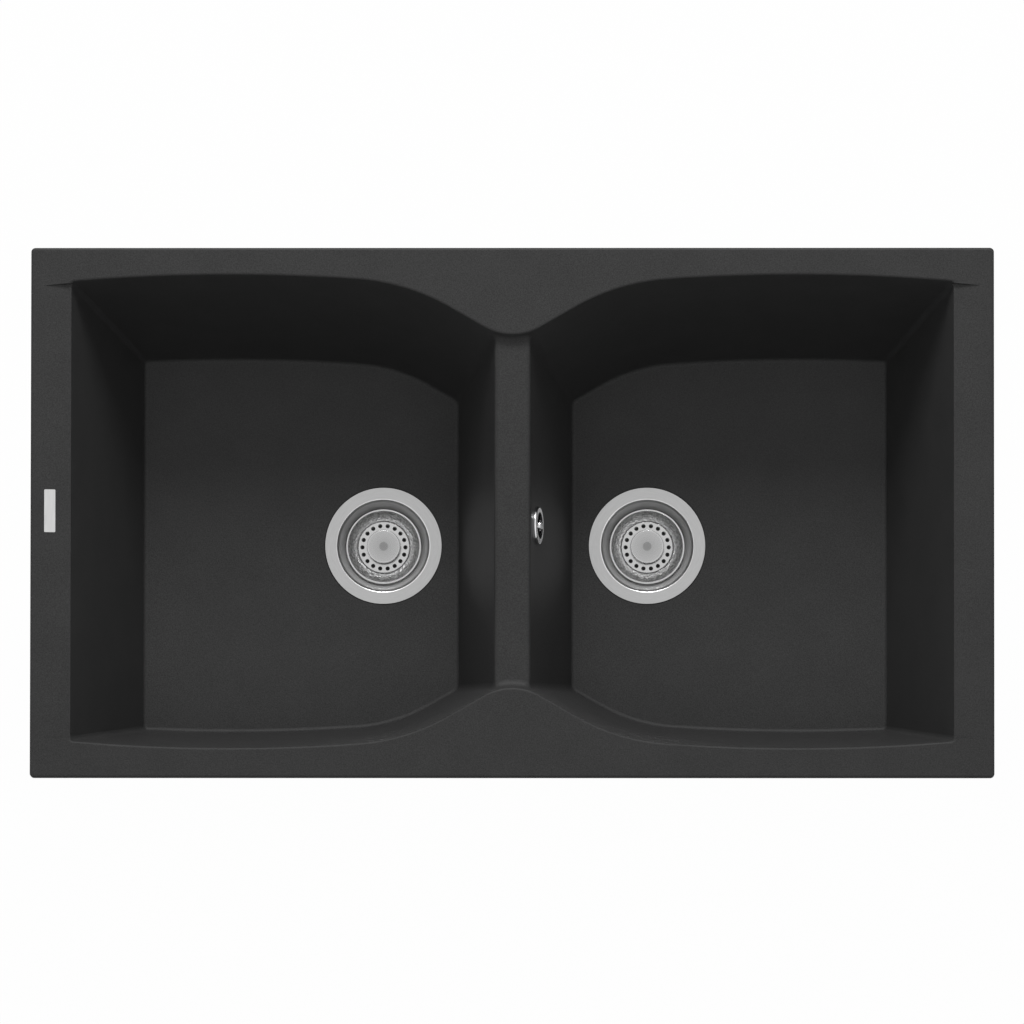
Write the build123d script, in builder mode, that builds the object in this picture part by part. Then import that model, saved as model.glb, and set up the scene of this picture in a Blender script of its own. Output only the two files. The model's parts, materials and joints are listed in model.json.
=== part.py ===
"""Double bowl inset kitchen sink in composite stone, with its wastes, overflow, pipework and clamps.

Millimetres. z = 0 is the worktop that the rim rests on, in the middle of the sink's outline,
+X runs along the two bowls and +Y towards the wall. The lever for every shape is in the values
that come first; whatever fits another piece is worked out from the same values.
"""

import os
from math import asin, atan, cos, degrees, radians, sin, tan

from build123d import *

os.makedirs("parts", exist_ok=True)

# --- Stone body -------------------------------------------------------------------------------
LENGTH = 900.0
WIDTH = 496.0
BOWL_DEPTH = 200.0
RIM_THICKNESS = 10.0
RIM_CORNER = 4.0
RIM_EDGE = 2.5
WALL = 9.0
FLOOR_THICKNESS = 10.0
BACK_MARGIN = 25.0
FRONT_MARGIN = 28.0
SIDE_STRIP = 36.0
DIVIDER = 29.0
DIVIDER_DROP = 10.0
DIVIDER_THICKNESS = 12.0
SADDLE_RADIUS = 4.0
DRAFT = 12.5
INNER_DRAFT = 11.0
OUTER_DRAFT = 17.5
FORWARD_LEAN = 5.5
OUTER_CORNER = 5.0
INNER_CORNER = 9.0
FLOOR_RADIUS = 4.5
UNDER_RADIUS = 11.7
BOWL_EDGE = 2.5
RAMP_INSET = 12.0
RAMP_DROP = 4.5
RAMP_SIDE_GAP = 1.5

# The curve of the openings, from the middle of the divider outwards.
LOBE_RADIUS = 52.4
LOBE_REACH = 56.3
FLARE_ANGLE = 29.9
HIP_RADIUS = 200.0
BOW_TURN = 4.14
BOW_RADIUS = 1683.0

# --- Worktop and clamps -----------------------------------------------------------------------
SEAL_THICKNESS = 2.0
SEAL_WIDTH = 6.0
SEAL_INSET = 1.0
CUTOUT_LAP = 10.0
TAP_KNOCKOUT = 35.0
TAP_SKIN = 4.0
TAP_MARGIN = 15.0
BOSS_RADIUS = 8.0
BOSS_HEIGHT = 24.0
PLUG_RADIUS = 4.5
PLUG_SKIN = 5.0
CLAMP_SCREW_RADIUS = 2.5
CLAMP_SCREW_GRIP = 4.0
CLAMP_SCREW_LENGTH = 46.0
CLAMP_HEAD_RADIUS = 5.0
CLAMP_HEAD_HEIGHT = 3.5
CLAW_REACH = 34.0
CLAW_WIDTH = 15.0
CLAW_SHEET = 2.0
CLAW_RISE = 14.0
CLAW_NOTCHES = 3
NOTCH_DEPTH = 2.0
SIDE_CLAMP_Y = 130.0
LOBE_CLAMP_X = 52.0
CLAMP_EDGE_GAP = 9.5
PLATE_LENGTH = 40.0
PLATE_WIDTH = 10.5
PLATE_THICKNESS = 0.6
PLATE_INSET = 0.8
PLATE_CORNER = 1.0

# --- Wastes, with heights measured from the bowl floor ------------------------------------------
DRAIN_SPACING = 249.4
DRAIN_HOLE = 90.0
FLANGE_DIAMETER = 110.0
SHEET = 1.2
GASKET = 1.2
RECESS_GAP = 1.0
LIP_RADIUS = 43.8
LIP_ROUND = 2.0
WAIST_RADIUS = 36.5
WAIST_DEPTH = 16.0
SEAT_DEPTH = 30.0
THROAT_RADIUS = 19.5
THROAT_DROP = 5.0
THROAT_HOLES = 6
THROAT_HOLE_RADIUS = 4.4
THROAT_HOLE_CIRCLE = 11.8
WASTE_SEAL = 3.0
WASTE_FLANGE = 54.0
SEAL_MARGIN = 1.0
WASTE_INNER = 42.0
WASTE_WALL = 3.5
WASTE_DEPTH = 42.0
WASTE_FALL = 12.0
WASTE_SPOKES = 3
SPOKE_WIDTH = 3.0
SCREW_BOSS_RADIUS = 8.0
SCREW_BOSS_HEIGHT = 12.0
THREAD_LENGTH = 18.0
WASTE_SCREW_RADIUS = 4.0
WASTE_HEAD_RADIUS = 6.5
WASTE_HEAD_HEIGHT = 3.0
SLOT_WIDTH = 1.6
SLOT_DEPTH = 1.2

# --- Basket strainers ---------------------------------------------------------------------------
BASKET_RIM_RADIUS = 35.3
BASKET_RIM_DEPTH = 11.2
BASKET_RIM_WIDTH = 1.8
BASKET_BASE_RADIUS = 24.5
BASKET_BASE_DEPTH = 22.0
BASKET_WALL_ARC = 18.0
BASKET_SHEET = 0.8
BASKET_HOLES = 18
BASKET_HOLE_RADIUS = 2.0
BASKET_HOLE_CIRCLE = 20.4
KNOB_RADIUS = 15.8
KNOB_THICKNESS = 2.5
KNOB_DEPTH = 8.5
KNOB_EDGE = 0.8
KNOB_DIMPLE_RADIUS = 4.0
KNOB_DIMPLE_DEPTH = 0.6
POST_RADIUS = 6.0
STEM_RADIUS = 3.0
PLUG_SEAL_RADIUS = 21.5
PLUG_SEAL_THICKNESS = 3.6

# --- Overflow -----------------------------------------------------------------------------------
OVERFLOW_DEPTH = 42.0
OVERFLOW_FORWARD = 11.0
OVERFLOW_HOLE = 28.0
ROSETTE_RADIUS = 18.0
ROSETTE_OPENING = 12.5
ROSETTE_THICKNESS = 3.0
ROSETTE_BAR = 5.0
ROSETTE_BOSS = 5.0
OVERFLOW_GASKET = 2.0
CUP_DEPTH = 11.0
CUP_RADIUS = 20.0
CUP_WALL = 2.0
OVERFLOW_SCREW_RADIUS = 2.5
OVERFLOW_HEAD_RADIUS = 4.0
OVERFLOW_HEAD_HEIGHT = 1.25
OVERFLOW_HEAD_EDGE = 0.6
SPOUT_X = 3.0
SPOUT_LENGTH = 44.0
HOSE_RADIUS = 11.0
HOSE_WALL = 2.0
HOSE_BEND = 45.0
HOSE_GRIP = 20.0
SPIGOT_DEPTH = 30.0
SPIGOT_LENGTH = 26.0
CLIP_THICKNESS = 1.0
CLIP_WIDTH = 8.0
CLIP_BOX_WIDTH = 11.0
CLIP_BOX_HEIGHT = 6.0

# --- Pipework -----------------------------------------------------------------------------------
PIPE_RADIUS = 20.0
PIPE_WALL = 2.0
THREAD_MARGIN = 3.9
BORE_MARGIN = 1.0
SOCKET_MARGIN = 4.0
NUT_MARGIN = 5.0
NUT_SIDES = 12
NUT_LIP = 3.0
NUT_GRIP = 12.0
WASHER = 2.0
COLLAR = 3.0
BEND_RADIUS = 34.0
BEND_DROP = 8.0
SOCKET_LENGTH = 24.0
PIPE_INSERT = 21.0
CONE_SEAL = 3.0
OUTLET_MARGIN = 3.0

# --- Fits ---------------------------------------------------------------------------------------
RUNNING = 0.05
CLEAR = 0.2
GAP = 0.3
OVERCUT = 1.0

TOP = SEAL_THICKNESS + RIM_THICKNESS
FLOOR = TOP - BOWL_DEPTH
BOWL_Y = (FRONT_MARGIN - BACK_MARGIN) / 2
BOWL_HALF_WIDTH = (WIDTH - BACK_MARGIN - FRONT_MARGIN) / 2
BOWL_OUTER_X = LENGTH / 2 - SIDE_STRIP
BOWL_MIDDLE_X = (DIVIDER / 2 + BOWL_OUTER_X) / 2
DRAIN_X = DRAIN_SPACING / 2
DRAIN_Y = BOWL_Y - BOWL_DEPTH * tan(radians(FORWARD_LEAN))
SIDES = {"left": -1, "right": 1}
DRAINS = [(sign * DRAIN_X, DRAIN_Y) for sign in SIDES.values()]
THREAD_RADIUS = PIPE_RADIUS + THREAD_MARGIN
THREAD_BORE = PIPE_RADIUS - BORE_MARGIN
SOCKET_RADIUS = PIPE_RADIUS + SOCKET_MARGIN
NUT_RADIUS = SOCKET_RADIUS + NUT_MARGIN
TEE_OUTLET_DROP = PIPE_RADIUS + OUTLET_MARGIN
STEEP = 0.9


def save(part, name):
    """Label a finished piece and write it under its own name."""
    part.label = name
    export_step(part, f"parts/{name}.step")


# --- Outline and mould core of the bowls ------------------------------------------------------
FLARE_RUN = (
    LOBE_REACH
    - LOBE_RADIUS * (1 - cos(radians(FLARE_ANGLE)))
    - HIP_RADIUS * (cos(radians(BOW_TURN)) - cos(radians(FLARE_ANGLE)))
    - BOW_RADIUS * (1 - cos(radians(BOW_TURN)))
) / sin(radians(FLARE_ANGLE))
BOW_APEX_X = (
    LOBE_RADIUS * sin(radians(FLARE_ANGLE))
    + FLARE_RUN * cos(radians(FLARE_ANGLE))
    + HIP_RADIUS * (sin(radians(FLARE_ANGLE)) - sin(radians(BOW_TURN)))
    + BOW_RADIUS * sin(radians(BOW_TURN))
)


def opening_outline(grow):
    """The waisted outline that both bowls share, grown outwards by `grow`."""
    neck = BOWL_HALF_WIDTH - LOBE_REACH + grow
    bow_turn = BOW_TURN + degrees(asin((LENGTH / 2 - BOW_APEX_X) / BOW_RADIUS))
    with BuildLine() as outline:
        lobe = JernArc((0, -neck), (1, 0), LOBE_RADIUS - grow, -FLARE_ANGLE)
        flare = Line(lobe @ 1, (lobe @ 1) + FLARE_RUN * (lobe % 1))
        hip = JernArc(flare @ 1, flare % 1, HIP_RADIUS + grow, FLARE_ANGLE - BOW_TURN)
        bow = JernArc(hip @ 1, hip % 1, BOW_RADIUS + grow, bow_turn)
        Line(bow @ 1, ((bow @ 1).X, 0))
        mirror(about=Plane.XZ)
        mirror(about=Plane.YZ)
    return outline.edges()


def round_corners(core, near, far, radius):
    """Round the upright corners between two distances from the middle of the core."""
    end_walls = core.faces().filter_by(lambda face: abs(face.normal_at().X) > STEEP)
    corners = end_walls.edges().filter_by(lambda edge: edge.bounding_box().size.Z > OVERCUT)
    fillet(corners.filter_by(lambda edge: near < abs(edge.center().X) < far), radius)


def make_core(grow, depth, divider_top, floor_radius, saddle_radius=0.0):
    """The mould core of both bowls, drawn upside down and turned over: its z is the depth below the rim.

    At the end it leans forwards, so that its back wall slopes more than its front wall.
    """
    outer_foot = BOWL_OUTER_X + grow - depth * tan(radians(OUTER_DRAFT))
    inner_top = DIVIDER / 2 - grow + divider_top * tan(radians(INNER_DRAFT))
    inner_foot = DIVIDER / 2 - grow + depth * tan(radians(INNER_DRAFT))
    with BuildPart() as core:
        with BuildSketch():
            make_face(opening_outline(grow))
        extrude(amount=depth, taper=DRAFT)
        with BuildSketch(Plane.XZ):
            with BuildLine():
                foot = Line((0, depth), (outer_foot, depth))
                side = Line(foot @ 1, (BOWL_OUTER_X + grow, 0))
                Line(side @ 1, (0, 0))
                mirror(about=Plane.YZ)
            make_face()
        extrude(amount=WIDTH, both=True, mode=Mode.INTERSECT)
        with BuildSketch(Plane.XZ):
            with BuildLine():
                saddle = Line((0, divider_top), (inner_top, divider_top))
                flank = Line(saddle @ 1, (inner_foot, depth))
                Line(flank @ 1, (0, depth))
                mirror(about=Plane.YZ)
            make_face()
        extrude(amount=WIDTH, both=True, mode=Mode.SUBTRACT)
        if saddle_radius:
            saddle_face = core.faces().filter_by(Axis.Z).group_by(Axis.Z)[1]
            fillet(saddle_face.edges().filter_by(Axis.Y), saddle_radius)
        round_corners(core, 0, BOWL_MIDDLE_X, INNER_CORNER + grow)
        round_corners(core, BOWL_MIDDLE_X, LENGTH, OUTER_CORNER + grow)
        fillet(core.faces().group_by(Axis.Z)[-1].edges(), floor_radius)
    lean = Matrix([[1, 0, 0, 0], [0, 1, tan(radians(FORWARD_LEAN)), 0], [0, 0, 1, 0]])
    return core.part.transform_geometry(lean).moved(Location((0, BOWL_Y, TOP), (180, 0, 0)))


def make_ramps():
    """What the side strips lose as they fall from the rim to the bowls' outer edges.

    Between the two ramps the profile runs on through the openings, above the lowered divider.
    """
    start = LENGTH / 2 - RAMP_INSET
    slope = RAMP_DROP / (start - BOWL_OUTER_X)
    end = BOWL_OUTER_X - OUTER_CORNER
    fall = slope * (start - end)
    with BuildPart() as ramps:
        with BuildSketch():
            make_face(opening_outline(-RAMP_SIDE_GAP))
        extrude(amount=fall, taper=DRAFT)
        with BuildSketch(Plane.XZ):
            with BuildLine():
                ramp = Line((start, 0), (end, fall))
                Line(ramp @ 1, (0, fall))
                Line(ramp @ 0, (0, 0))
                mirror(about=Plane.YZ)
            make_face()
        extrude(amount=WIDTH, both=True, mode=Mode.INTERSECT)
    return ramps.part.moved(Location((0, BOWL_Y, TOP), (180, 0, 0)))


# --- Places shared by several pieces ----------------------------------------------------------
CUTOUT_X = LENGTH / 2 - CUTOUT_LAP
CUTOUT_Y = WIDTH / 2 - CUTOUT_LAP
TAP_Y = BOWL_Y + BOWL_HALF_WIDTH - LOBE_REACH + WALL + TAP_KNOCKOUT / 2 + TAP_MARGIN
OVERFLOW_X = DIVIDER / 2 + OVERFLOW_DEPTH * tan(radians(INNER_DRAFT))
OVERFLOW_PLANE = Plane(
    origin=(OVERFLOW_X, BOWL_Y - OVERFLOW_FORWARD, TOP - OVERFLOW_DEPTH),
    x_dir=(0, 1, 0),
    z_dir=(cos(radians(INNER_DRAFT)), 0, sin(radians(INNER_DRAFT))),
)
WALL_ACROSS = WALL * cos(radians(INNER_DRAFT))


def clamp_places():
    """Each clamp's screw axis and the way its claw points at rest, along the rim."""
    side_x = CUTOUT_X - CLAMP_EDGE_GAP
    lobe_y = CUTOUT_Y - CLAMP_EDGE_GAP - BOSS_RADIUS
    places = []
    for x_sign in (-1, 1):
        for y_sign in (-1, 1):
            places.append((x_sign * side_x, y_sign * SIDE_CLAMP_Y, -90 * y_sign))
    for y_sign in (-1, 1):
        for x_sign in (-1, 1):
            places.append((x_sign * LOBE_CLAMP_X, y_sign * lobe_y, 0 if x_sign > 0 else 180))
    return places


CLAMPS = clamp_places()

with BuildPart() as sink_body:
    with BuildSketch(Plane.XY.offset(SEAL_THICKNESS)):
        RectangleRounded(LENGTH, WIDTH, RIM_CORNER)
    extrude(amount=RIM_THICKNESS)
    add(make_core(WALL, BOWL_DEPTH + FLOOR_THICKNESS, DIVIDER_DROP + DIVIDER_THICKNESS, UNDER_RADIUS))
    add(make_core(0, BOWL_DEPTH, DIVIDER_DROP, FLOOR_RADIUS, SADDLE_RADIUS), mode=Mode.SUBTRACT)
    rim_face = sink_body.faces().sort_by(Axis.Z)[-1]
    fillet(rim_face.outer_wire().edges(), RIM_EDGE)
    rim_face = sink_body.faces().sort_by(Axis.Z)[-1]
    fillet(rim_face.inner_wires()[0].edges(), BOWL_EDGE)
    add(make_ramps(), mode=Mode.SUBTRACT)
    with BuildSketch(Plane.XY.offset(SEAL_THICKNESS)):
        with Locations([(x, y) for x, y, _ in CLAMPS]):
            Circle(BOSS_RADIUS)
    extrude(amount=-BOSS_HEIGHT)
    with BuildSketch(Plane.XY.offset(SEAL_THICKNESS - BOSS_HEIGHT)):
        with Locations([(x, y) for x, y, _ in CLAMPS]):
            Circle(PLUG_RADIUS)
    extrude(amount=BOSS_HEIGHT + RIM_THICKNESS - PLUG_SKIN, mode=Mode.SUBTRACT)
    with BuildSketch(Plane.XY.offset(SEAL_THICKNESS)):
        with Locations((0, TAP_Y)):
            Circle(TAP_KNOCKOUT / 2)
    extrude(amount=RIM_THICKNESS - TAP_SKIN, mode=Mode.SUBTRACT)
    with BuildSketch(Plane.XY.offset(FLOOR)):
        with Locations(DRAINS):
            Circle(FLANGE_DIAMETER / 2 + RECESS_GAP)
    extrude(amount=-SHEET - GASKET, mode=Mode.SUBTRACT)
    with BuildSketch(Plane.XY.offset(FLOOR)):
        with Locations(DRAINS):
            Circle(DRAIN_HOLE / 2)
    extrude(amount=-FLOOR_THICKNESS, mode=Mode.SUBTRACT)
    with BuildSketch(OVERFLOW_PLANE):
        Circle(OVERFLOW_HOLE / 2)
    extrude(amount=-WALL, both=True, mode=Mode.SUBTRACT)
save(sink_body.part, "sink_body")

with BuildPart() as rim_seal:
    with BuildSketch():
        RectangleRounded(
            2 * (CUTOUT_X + SEAL_INSET + SEAL_WIDTH), 2 * (CUTOUT_Y + SEAL_INSET + SEAL_WIDTH), RIM_CORNER
        )
        Rectangle(2 * (CUTOUT_X + SEAL_INSET), 2 * (CUTOUT_Y + SEAL_INSET), mode=Mode.SUBTRACT)
    extrude(amount=SEAL_THICKNESS)
save(rim_seal.part, "rim_seal")

RAMP_ANGLE = atan(RAMP_DROP / (SIDE_STRIP - RAMP_INSET))
plate_along = PLATE_INSET + PLATE_WIDTH / 2
plate_plane = Plane(
    origin=(
        RAMP_INSET - LENGTH / 2 + plate_along * cos(RAMP_ANGLE),
        BOWL_Y,
        TOP - plate_along * sin(RAMP_ANGLE),
    ),
    x_dir=(cos(RAMP_ANGLE), 0, -sin(RAMP_ANGLE)),
    z_dir=(sin(RAMP_ANGLE), 0, cos(RAMP_ANGLE)),
)
with BuildPart() as name_plate:
    with BuildSketch(plate_plane):
        RectangleRounded(PLATE_WIDTH, PLATE_LENGTH, PLATE_CORNER)
    extrude(amount=PLATE_THICKNESS)
save(name_plate.part, "name_plate")


# --- Wastes: drawn on the drain's axis, with z = 0 at the bowl floor ----------------------------
def make_ring(plane, outer, inner, length):
    """A plain ring or tube that stands on a plane."""
    with BuildPart() as ring:
        with BuildSketch(plane):
            Circle(outer)
            Circle(inner, mode=Mode.SUBTRACT)
        extrude(amount=length)
    return ring.part


with BuildPart() as strainer_flange:
    with BuildSketch(Plane.XZ) as flange_profile:
        with BuildLine():
            Polyline(
                (FLANGE_DIAMETER / 2, 0),
                (LIP_RADIUS, 0),
                (LIP_RADIUS - LIP_ROUND, -LIP_ROUND),
                (WAIST_RADIUS, -WAIST_DEPTH),
                (WAIST_RADIUS, -SEAT_DEPTH),
                (THROAT_RADIUS, -SEAT_DEPTH),
                (THROAT_RADIUS - SHEET, -SEAT_DEPTH - THROAT_DROP),
                (WASTE_SCREW_RADIUS + CLEAR, -SEAT_DEPTH - THROAT_DROP),
                (WASTE_SCREW_RADIUS + CLEAR, -SEAT_DEPTH - THROAT_DROP - SHEET),
                (THROAT_RADIUS, -SEAT_DEPTH - THROAT_DROP - SHEET),
                (THROAT_RADIUS + SHEET, -SEAT_DEPTH - SHEET),
                (WAIST_RADIUS + SHEET, -SEAT_DEPTH - SHEET),
                (WAIST_RADIUS + SHEET, -WAIST_DEPTH),
                (LIP_RADIUS - LIP_ROUND + SHEET, -LIP_ROUND - SHEET),
                (LIP_RADIUS - LIP_ROUND + SHEET, -SHEET),
                (FLANGE_DIAMETER / 2, -SHEET),
                close=True,
            )
        make_face()
        top_corners = flange_profile.vertices().group_by(Axis.Y)[-1]
        fillet(top_corners.sort_by(Axis.X)[0], LIP_ROUND)
    revolve(axis=Axis.Z)
    with BuildSketch(Plane.XY.offset(-SEAT_DEPTH - THROAT_DROP)):
        with PolarLocations(THROAT_HOLE_CIRCLE, THROAT_HOLES):
            Circle(THROAT_HOLE_RADIUS)
    extrude(amount=-SHEET, mode=Mode.SUBTRACT)

gasket_plane = Plane.XY.offset(-SHEET - GASKET)
flange_gasket = make_ring(gasket_plane, FLANGE_DIAMETER / 2 - CLEAR, DRAIN_HOLE / 2 + RECESS_GAP, GASKET)
WASTE_TOP = -FLOOR_THICKNESS - WASTE_SEAL
seal_radius = WASTE_FLANGE - SEAL_MARGIN
waste_seal = make_ring(Plane.XY.offset(WASTE_TOP), seal_radius, DRAIN_HOLE / 2 + RECESS_GAP, WASTE_SEAL)

NECK_TOP = -WASTE_DEPTH - WASTE_WALL - WASTE_FALL
NECK_END = NECK_TOP - THREAD_LENGTH
with BuildPart() as waste_body:
    with BuildSketch(Plane.XZ):
        with BuildLine():
            Polyline(
                (WASTE_FLANGE, WASTE_TOP),
                (WASTE_INNER, WASTE_TOP),
                (WASTE_INNER, -WASTE_DEPTH),
                (THREAD_BORE, NECK_TOP + WASTE_WALL),
                (THREAD_BORE, NECK_END),
                (THREAD_RADIUS, NECK_END),
                (THREAD_RADIUS, NECK_TOP),
                (WASTE_INNER + WASTE_WALL, -WASTE_DEPTH - WASTE_WALL),
                (WASTE_INNER + WASTE_WALL, WASTE_TOP - 2 * WASTE_WALL),
                (WASTE_FLANGE, WASTE_TOP - WASTE_WALL),
                close=True,
            )
        make_face()
    revolve(axis=Axis.Z)
    with BuildSketch(Plane.XY.offset(NECK_TOP)):
        Circle(SCREW_BOSS_RADIUS)
        with PolarLocations((THREAD_BORE + SCREW_BOSS_RADIUS) / 2, WASTE_SPOKES):
            Rectangle(THREAD_BORE - SCREW_BOSS_RADIUS + 2 * OVERCUT, SPOKE_WIDTH)
        Circle(WASTE_SCREW_RADIUS, mode=Mode.SUBTRACT)
    extrude(amount=-SCREW_BOSS_HEIGHT)

SPIGOT_RADIUS = HOSE_RADIUS - HOSE_WALL - CLEAR
SPIGOT_TIP = -WASTE_INNER - WASTE_WALL - SPIGOT_LENGTH
spigot_plane = Plane(origin=(SPIGOT_TIP, OVERFLOW_PLANE.origin.Y - DRAIN_Y, -SPIGOT_DEPTH), z_dir=(1, 0, 0))
with BuildPart() as overflow_waste_body:
    add(waste_body.part)
    with BuildSketch(spigot_plane):
        Circle(SPIGOT_RADIUS)
    extrude(amount=SPIGOT_LENGTH + 2 * WASTE_WALL)
    with BuildSketch(Plane.XY.offset(WASTE_TOP)):
        Circle(WASTE_INNER)
    extrude(amount=-WASTE_DEPTH - WASTE_TOP, mode=Mode.SUBTRACT)
    with BuildSketch(spigot_plane):
        Circle(SPIGOT_RADIUS - HOSE_WALL)
    extrude(amount=SPIGOT_LENGTH + 2 * WASTE_WALL + OVERCUT, mode=Mode.SUBTRACT)

with BuildPart() as waste_screw:
    head_plane = Plane.XY.offset(-SEAT_DEPTH - THROAT_DROP)
    with BuildSketch(head_plane):
        Circle(WASTE_HEAD_RADIUS)
    extrude(amount=WASTE_HEAD_HEIGHT)
    with BuildSketch(head_plane):
        Circle(WASTE_SCREW_RADIUS)
    extrude(amount=NECK_TOP - SCREW_BOSS_HEIGHT + SEAT_DEPTH + THROAT_DROP)
    with BuildSketch(head_plane.offset(WASTE_HEAD_HEIGHT)):
        Rectangle(2 * WASTE_HEAD_RADIUS, SLOT_WIDTH)
    extrude(amount=-SLOT_DEPTH, mode=Mode.SUBTRACT)

with BuildPart() as basket:
    with BuildSketch(Plane.XZ):
        with BuildLine():
            rim_in = BASKET_RIM_RADIUS - BASKET_RIM_WIDTH
            base = (BASKET_BASE_RADIUS, -BASKET_BASE_DEPTH)
            RadiusArc((rim_in, -BASKET_RIM_DEPTH), base, BASKET_WALL_ARC)
            Polyline(
                base,
                (STEM_RADIUS, -BASKET_BASE_DEPTH),
                (STEM_RADIUS, -BASKET_BASE_DEPTH - BASKET_SHEET),
                (BASKET_BASE_RADIUS, -BASKET_BASE_DEPTH - BASKET_SHEET),
            )
            RadiusArc(
                (BASKET_BASE_RADIUS, -BASKET_BASE_DEPTH - BASKET_SHEET),
                (rim_in + BASKET_SHEET, -BASKET_RIM_DEPTH - BASKET_SHEET),
                -BASKET_WALL_ARC,
            )
            Polyline(
                (rim_in + BASKET_SHEET, -BASKET_RIM_DEPTH - BASKET_SHEET),
                (BASKET_RIM_RADIUS, -BASKET_RIM_DEPTH - BASKET_SHEET),
                (BASKET_RIM_RADIUS, -BASKET_RIM_DEPTH),
                (rim_in, -BASKET_RIM_DEPTH),
            )
        make_face()
    revolve(axis=Axis.Z)
    with BuildSketch(Plane.XY.offset(-BASKET_BASE_DEPTH)):
        with PolarLocations(BASKET_HOLE_CIRCLE, BASKET_HOLES):
            Circle(BASKET_HOLE_RADIUS)
    extrude(amount=-BASKET_SHEET, mode=Mode.SUBTRACT)

with BuildPart() as basket_knob:
    knob_top = Plane.XY.offset(-KNOB_DEPTH)
    with BuildSketch(knob_top):
        Circle(KNOB_RADIUS)
    extrude(amount=-KNOB_THICKNESS)
    fillet(basket_knob.edges().group_by(Axis.Z)[-1], KNOB_EDGE)
    with BuildSketch(knob_top):
        Circle(KNOB_DIMPLE_RADIUS)
    extrude(amount=-KNOB_DIMPLE_DEPTH, mode=Mode.SUBTRACT)
    with BuildSketch(knob_top.offset(-KNOB_THICKNESS)):
        Circle(POST_RADIUS)
    extrude(amount=KNOB_DEPTH + KNOB_THICKNESS - BASKET_BASE_DEPTH)
    with BuildSketch(Plane.XY.offset(-BASKET_BASE_DEPTH)):
        Circle(STEM_RADIUS)
    extrude(amount=BASKET_BASE_DEPTH - SEAT_DEPTH + GAP)

seal_plane = Plane.XY.offset(-SEAT_DEPTH + GAP)
plug_seal = make_ring(seal_plane, PLUG_SEAL_RADIUS, STEM_RADIUS, PLUG_SEAL_THICKNESS)

DRAIN_PIECES = {
    "strainer_flange": strainer_flange.part,
    "flange_gasket": flange_gasket,
    "waste_seal": waste_seal,
    "waste_screw": waste_screw.part,
    "basket": basket.part,
    "basket_knob": basket_knob.part,
    "plug_seal": plug_seal,
}
for side, sign in SIDES.items():
    drain = Location((sign * DRAIN_X, DRAIN_Y, FLOOR))
    for name, piece in DRAIN_PIECES.items():
        save(piece.moved(drain), f"{name}_{side}")
    save((waste_body if sign < 0 else overflow_waste_body).part.moved(drain), f"waste_body_{side}")

# --- Overflow -----------------------------------------------------------------------------------
with BuildPart() as overflow_rosette:
    with BuildSketch(OVERFLOW_PLANE):
        Circle(ROSETTE_RADIUS)
        Circle(ROSETTE_OPENING, mode=Mode.SUBTRACT)
        Rectangle(ROSETTE_BAR, 2 * (ROSETTE_OPENING + OVERCUT))
        Circle(ROSETTE_BOSS)
        Circle(OVERFLOW_SCREW_RADIUS, mode=Mode.SUBTRACT)
    extrude(amount=ROSETTE_THICKNESS)
    rim_edges = overflow_rosette.edges().filter_by(GeomType.CIRCLE).sort_by(SortBy.RADIUS)[-2:]
    fillet(rim_edges.sort_by(Axis.X)[-1], ROSETTE_THICKNESS / 2)
save(overflow_rosette.part, "overflow_rosette")

back_of_wall = OVERFLOW_PLANE.offset(-WALL_ACROSS)
save(make_ring(back_of_wall, CUP_RADIUS, OVERFLOW_HOLE / 2, -OVERFLOW_GASKET), "overflow_gasket")

cup_face = back_of_wall.offset(-OVERFLOW_GASKET)
spout_top = OVERFLOW_PLANE.origin.Z
spout_end = spout_top - SPOUT_LENGTH
spout_plane = Plane.XY.offset(spout_end)
spout_place = (SPOUT_X, OVERFLOW_PLANE.origin.Y)
with BuildPart() as overflow_cup:
    with BuildSketch(cup_face):
        Circle(CUP_RADIUS)
    extrude(amount=-CUP_DEPTH)
    with BuildSketch(spout_plane):
        with Locations(spout_place):
            Circle(SPIGOT_RADIUS)
    extrude(amount=SPOUT_LENGTH - CUP_RADIUS / 2)
    with BuildSketch(cup_face):
        Circle(CUP_RADIUS - CUP_WALL)
        Circle(ROSETTE_BOSS, mode=Mode.SUBTRACT)
    extrude(amount=CUP_WALL - CUP_DEPTH, mode=Mode.SUBTRACT)
    with BuildSketch(spout_plane):
        with Locations(spout_place):
            Circle(SPIGOT_RADIUS - HOSE_WALL)
    extrude(amount=SPOUT_LENGTH - CUP_RADIUS / 2 - CUP_WALL, mode=Mode.SUBTRACT)
    with BuildSketch(cup_face):
        Circle(OVERFLOW_SCREW_RADIUS)
    extrude(amount=CUP_WALL - CUP_DEPTH, mode=Mode.SUBTRACT)
save(overflow_cup.part, "overflow_cup")

with BuildPart() as overflow_screw:
    with BuildSketch(OVERFLOW_PLANE.offset(ROSETTE_THICKNESS)):
        Circle(OVERFLOW_HEAD_RADIUS)
    extrude(amount=OVERFLOW_HEAD_HEIGHT)
    fillet(overflow_screw.edges().sort_by(Axis.X)[-1], OVERFLOW_HEAD_EDGE)
    with BuildSketch(OVERFLOW_PLANE.offset(ROSETTE_THICKNESS)):
        Circle(OVERFLOW_SCREW_RADIUS)
    extrude(amount=CUP_WALL - CUP_DEPTH - OVERFLOW_GASKET - WALL_ACROSS - ROSETTE_THICKNESS)
save(overflow_screw.part, "overflow_screw")

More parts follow.
